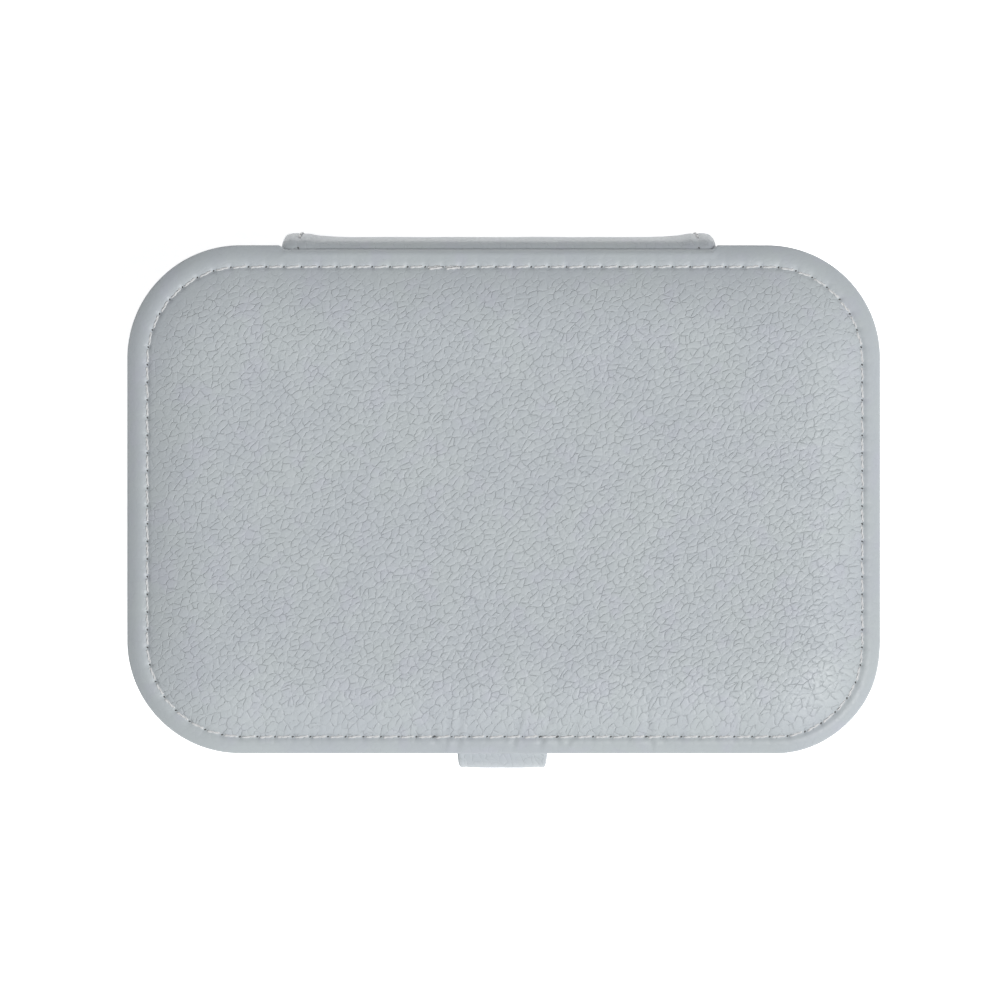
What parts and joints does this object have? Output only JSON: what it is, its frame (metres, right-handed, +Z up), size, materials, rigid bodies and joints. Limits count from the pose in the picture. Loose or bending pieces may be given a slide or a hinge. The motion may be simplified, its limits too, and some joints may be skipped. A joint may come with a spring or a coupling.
{
  "type": "travel jewelry case",
  "caption": "Rounded-rectangle travel jewelry case in pebbled leather with a padded lid, strap hinge, snap tab, ring rolls, compartments, lid pocket and necklace straps.",
  "frame": {"origin": "middle of the resting face under the base", "axes": "+X to the right seen from the front, +Y to the back (hinge side), +Z up"},
  "size_m": [0.16, 0.1172, 0.052],
  "materials": {
    "leather": "pebbled, satin",
    "thread": "twisted polyester thread",
    "board": "grey board",
    "velvet": "short velvet",
    "velvet_foam": "short velvet over foam",
    "foam": "soft foam",
    "pocket_fabric": "gathered velvet",
    "elastic": "woven elastic",
    "snap_metal": "polished nickel plate"
  },
  "bodies": {
    "base": {"base_bottom_panel": "leather", "base_bottom_stitching": "thread", "base_side_band": "leather", "base_shell": "board", "base_collar": "board", "base_lining": "velvet", "base_floor_pad": "velvet", "long_divider": "velvet", "ring_bay_divider_left": "velvet", "ring_bay_divider_right": "velvet", "snap_stud": "snap_metal", "snap_rivet": "snap_metal", "hinge_strap_lower": "leather", "hinge_strap_fold": "leather", "strap_stitching_lower": "thread", "ring_roll_1": "velvet_foam", "ring_roll_2": "velvet_foam", "ring_roll_3": "velvet_foam", "ring_roll_4": "velvet_foam", "ring_roll_5": "velvet_foam"},
    "lid": {"hinge_strap_upper": "leather", "strap_stitching_upper": "thread", "lid_top_panel": "leather", "lid_foam_pad": "foam", "lid_top_stitching": "thread", "lid_side_band": "leather", "lid_shell": "board", "lid_lining": "velvet", "lid_ceiling_panel": "velvet", "pocket_panel": "pocket_fabric", "pocket_elastic": "elastic", "necklace_backing_strip": "leather", "closure_tab_bend": "leather", "necklace_stud_1": "snap_metal", "necklace_stud_2": "snap_metal", "necklace_stud_3": "snap_metal"},
    "closure_tab": {"closure_tab_outer": "leather", "closure_tab_lining": "leather", "closure_tab_stitching": "thread", "snap_cap": "snap_metal", "snap_socket": "snap_metal"},
    "necklace_strap_1_body": {"necklace_strap_1": "leather", "necklace_snap_1": "snap_metal"},
    "necklace_strap_2_body": {"necklace_strap_2": "leather", "necklace_snap_2": "snap_metal"},
    "necklace_strap_3_body": {"necklace_strap_3": "leather", "necklace_snap_3": "snap_metal"},
    "divider_left_body": {"divider_left": "velvet"},
    "divider_right_body": {"divider_right": "velvet"}
  },
  "joints": [
    {"name": "lid_hinge", "type": "hinge", "parent": "base", "child": "lid", "pos_m": [0, 0.0585, 0.02925], "axis": [-1, 0, 0], "range_deg": [0, 175], "deforming": ["hinge_strap_fold"]},
    {"name": "tab_hinge", "type": "hinge", "parent": "lid", "child": "closure_tab", "pos_m": [-0.0003, -0.05566, 0.04396], "axis": [-1, 0, 0], "range_deg": [0, 120], "deforming": ["closure_tab_bend"]},
    {"name": "necklace_strap_1_swing", "type": "hinge", "parent": "lid", "child": "necklace_strap_1_body", "pos_m": [-0.0494, -0.0433, 0.0398], "axis": [-1, 0, 0], "range_deg": [0, 90]},
    {"name": "necklace_strap_2_swing", "type": "hinge", "parent": "lid", "child": "necklace_strap_2_body", "pos_m": [0, -0.0433, 0.0398], "axis": [-1, 0, 0], "range_deg": [0, 90]},
    {"name": "necklace_strap_3_swing", "type": "hinge", "parent": "lid", "child": "necklace_strap_3_body", "pos_m": [0.0494, -0.0433, 0.0398], "axis": [-1, 0, 0], "range_deg": [0, 90]},
    {"name": "divider_left_lift", "type": "slide", "parent": "base", "child": "divider_left_body", "axis": [0, 0, 1], "range_m": [0, 0.013]},
    {"name": "divider_right_lift", "type": "slide", "parent": "base", "child": "divider_right_body", "axis": [0, 0, 1], "range_m": [0, 0.013]}
  ]
}
